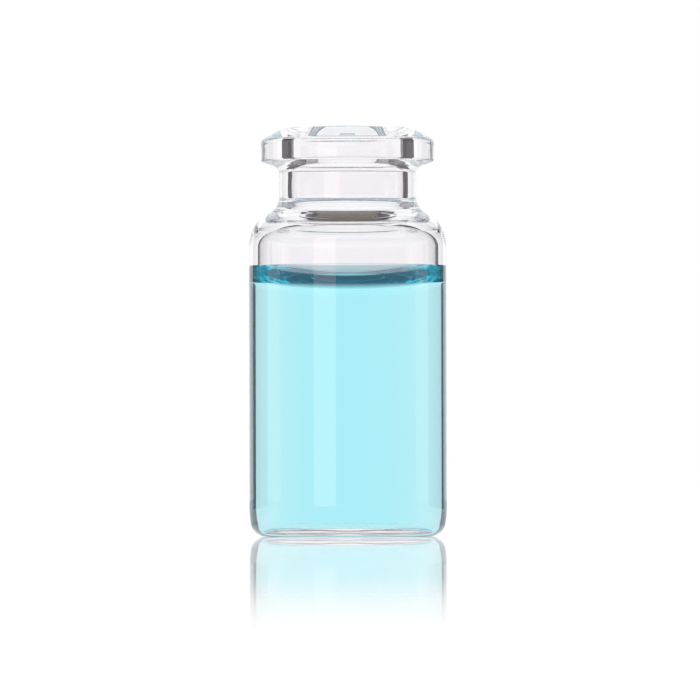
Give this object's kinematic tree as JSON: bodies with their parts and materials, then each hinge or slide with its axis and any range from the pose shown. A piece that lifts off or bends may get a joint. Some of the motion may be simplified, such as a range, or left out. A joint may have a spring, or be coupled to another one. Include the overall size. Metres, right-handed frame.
{
  "type": "glass sample vial",
  "caption": "Open glass vial with a bevelled crimp neck, rounded shoulders and a pushed-up base, part filled with clear blue solution.",
  "frame": {"origin": "on the vial's axis, in the plane of the foot ring that it stands on", "axes": "+Z along the vial's axis, from base to mouth; the vial is round, so X and Y are alike"},
  "size_m": [0.0226, 0.0226, 0.0465],
  "materials": {
    "clear_glass": "fire-polished clear tubular glass, faintly cool, water clear through the wall",
    "blue_solution": "clear pale cyan-blue watery solution, no bubbles"
  },
  "bodies": {
    "root": {"vial_glass": "clear_glass", "sample_solution": "blue_solution"}
  },
  "joints": []
}
